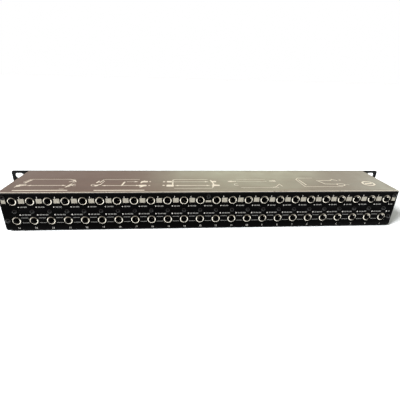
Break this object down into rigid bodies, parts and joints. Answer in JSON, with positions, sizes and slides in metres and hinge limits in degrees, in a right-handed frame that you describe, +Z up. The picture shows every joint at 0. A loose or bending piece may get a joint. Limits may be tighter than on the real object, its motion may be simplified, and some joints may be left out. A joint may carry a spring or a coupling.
{
  "type": "audio patch bay",
  "caption": "One-unit rack patch bay: a flat black steel box with rows of 6.35 mm three-pole jacks front and back and a mode switch per channel.",
  "frame": {"origin": "centre of the four rack slots, in the plane of the back of the rack ears", "axes": "+X to the right when looking at the front panel, +Y from the front panel to the rear panel, +Z up"},
  "size_m": [0.4826, 0.0789, 0.0444],
  "materials": {
    "front_paint": "satin",
    "rear_paint": "satin",
    "tray_paint": "satin",
    "lid_paint": "satin",
    "black_screw": "black oxide",
    "zinc_plate": "zinc plated",
    "jack_plastic": "moulded",
    "jack_nose": "pale nickelled brass",
    "spring_metal": "tinned spring bronze",
    "circuit_board": "solder resist",
    "guide_plastic": "nylon",
    "insulation": "film",
    "switch_plastic": "moulded",
    "lever_plastic": "moulded"
  },
  "bodies": {
    "chassis": {"front_panel": "front_paint", "rear_panel": "rear_paint", "chassis_tray": "tray_paint", "top_lid": "lid_paint", "front_panel_screws": "black_screw", "rear_panel_screws": "black_screw", "lid_rear_screws": "black_screw", "lid_side_screws": "black_screw", "module_screws": "black_screw", "press_nuts": "zinc_plate", "front_upper_jack_bodies": "jack_plastic", "front_lower_jack_bodies": "jack_plastic", "rear_upper_jack_bodies": "jack_plastic", "rear_lower_jack_bodies": "jack_plastic", "front_upper_jack_noses": "jack_nose", "front_lower_jack_noses": "jack_nose", "rear_upper_jack_noses": "jack_nose", "rear_lower_jack_noses": "jack_nose", "tip_springs": "spring_metal", "ring_springs": "spring_metal", "sleeve_springs": "spring_metal", "normalling_springs": "spring_metal", "channel_boards": "circuit_board", "module_brackets": "zinc_plate", "board_guide": "guide_plastic", "floor_insulation": "insulation", "switch_housings": "switch_plastic", "switch_terminals": "spring_metal"},
    "switch_01": {"mode_switch_01": "lever_plastic"},
    "switch_02": {"mode_switch_02": "lever_plastic"},
    "switch_03": {"mode_switch_03": "lever_plastic"},
    "switch_04": {"mode_switch_04": "lever_plastic"},
    "switch_05": {"mode_switch_05": "lever_plastic"},
    "switch_06": {"mode_switch_06": "lever_plastic"},
    "switch_07": {"mode_switch_07": "lever_plastic"},
    "switch_08": {"mode_switch_08": "lever_plastic"},
    "switch_09": {"mode_switch_09": "lever_plastic"},
    "switch_10": {"mode_switch_10": "lever_plastic"},
    "switch_11": {"mode_switch_11": "lever_plastic"},
    "switch_12": {"mode_switch_12": "lever_plastic"},
    "switch_13": {"mode_switch_13": "lever_plastic"},
    "switch_14": {"mode_switch_14": "lever_plastic"},
    "switch_15": {"mode_switch_15": "lever_plastic"},
    "switch_16": {"mode_switch_16": "lever_plastic"},
    "switch_17": {"mode_switch_17": "lever_plastic"},
    "switch_18": {"mode_switch_18": "lever_plastic"},
    "switch_19": {"mode_switch_19": "lever_plastic"},
    "switch_20": {"mode_switch_20": "lever_plastic"},
    "switch_21": {"mode_switch_21": "lever_plastic"},
    "switch_22": {"mode_switch_22": "lever_plastic"},
    "switch_23": {"mode_switch_23": "lever_plastic"},
    "switch_24": {"mode_switch_24": "lever_plastic"}
  },
  "joints": [
    {"name": "switch_slide_01", "type": "slide", "parent": "chassis", "child": "switch_01", "axis": [1, 0, 0], "range_m": [-0.002, 0.002]},
    {"name": "switch_slide_02", "type": "slide", "parent": "chassis", "child": "switch_02", "axis": [1, 0, 0], "range_m": [-0.002, 0.002]},
    {"name": "switch_slide_03", "type": "slide", "parent": "chassis", "child": "switch_03", "axis": [1, 0, 0], "range_m": [-0.002, 0.002]},
    {"name": "switch_slide_04", "type": "slide", "parent": "chassis", "child": "switch_04", "axis": [1, 0, 0], "range_m": [-0.002, 0.002]},
    {"name": "switch_slide_05", "type": "slide", "parent": "chassis", "child": "switch_05", "axis": [1, 0, 0], "range_m": [-0.002, 0.002]},
    {"name": "switch_slide_06", "type": "slide", "parent": "chassis", "child": "switch_06", "axis": [1, 0, 0], "range_m": [-0.002, 0.002]},
    {"name": "switch_slide_07", "type": "slide", "parent": "chassis", "child": "switch_07", "axis": [1, 0, 0], "range_m": [-0.002, 0.002]},
    {"name": "switch_slide_08", "type": "slide", "parent": "chassis", "child": "switch_08", "axis": [1, 0, 0], "range_m": [-0.002, 0.002]},
    {"name": "switch_slide_09", "type": "slide", "parent": "chassis", "child": "switch_09", "axis": [1, 0, 0], "range_m": [-0.002, 0.002]},
    {"name": "switch_slide_10", "type": "slide", "parent": "chassis", "child": "switch_10", "axis": [1, 0, 0], "range_m": [-0.002, 0.002]},
    {"name": "switch_slide_11", "type": "slide", "parent": "chassis", "child": "switch_11", "axis": [1, 0, 0], "range_m": [-0.002, 0.002]},
    {"name": "switch_slide_12", "type": "slide", "parent": "chassis", "child": "switch_12", "axis": [1, 0, 0], "range_m": [-0.002, 0.002]},
    {"name": "switch_slide_13", "type": "slide", "parent": "chassis", "child": "switch_13", "axis": [1, 0, 0], "range_m": [-0.002, 0.002]},
    {"name": "switch_slide_14", "type": "slide", "parent": "chassis", "child": "switch_14", "axis": [1, 0, 0], "range_m": [-0.002, 0.002]},
    {"name": "switch_slide_15", "type": "slide", "parent": "chassis", "child": "switch_15", "axis": [1, 0, 0], "range_m": [-0.002, 0.002]},
    {"name": "switch_slide_16", "type": "slide", "parent": "chassis", "child": "switch_16", "axis": [1, 0, 0], "range_m": [-0.002, 0.002]},
    {"name": "switch_slide_17", "type": "slide", "parent": "chassis", "child": "switch_17", "axis": [1, 0, 0], "range_m": [-0.002, 0.002]},
    {"name": "switch_slide_18", "type": "slide", "parent": "chassis", "child": "switch_18", "axis": [1, 0, 0], "range_m": [-0.002, 0.002]},
    {"name": "switch_slide_19", "type": "slide", "parent": "chassis", "child": "switch_19", "axis": [1, 0, 0], "range_m": [-0.002, 0.002]},
    {"name": "switch_slide_20", "type": "slide", "parent": "chassis", "child": "switch_20", "axis": [1, 0, 0], "range_m": [-0.002, 0.002]},
    {"name": "switch_slide_21", "type": "slide", "parent": "chassis", "child": "switch_21", "axis": [1, 0, 0], "range_m": [-0.002, 0.002]},
    {"name": "switch_slide_22", "type": "slide", "parent": "chassis", "child": "switch_22", "axis": [1, 0, 0], "range_m": [-0.002, 0.002]},
    {"name": "switch_slide_23", "type": "slide", "parent": "chassis", "child": "switch_23", "axis": [1, 0, 0], "range_m": [-0.002, 0.002]},
    {"name": "switch_slide_24", "type": "slide", "parent": "chassis", "child": "switch_24", "axis": [1, 0, 0], "range_m": [-0.002, 0.002]}
  ]
}
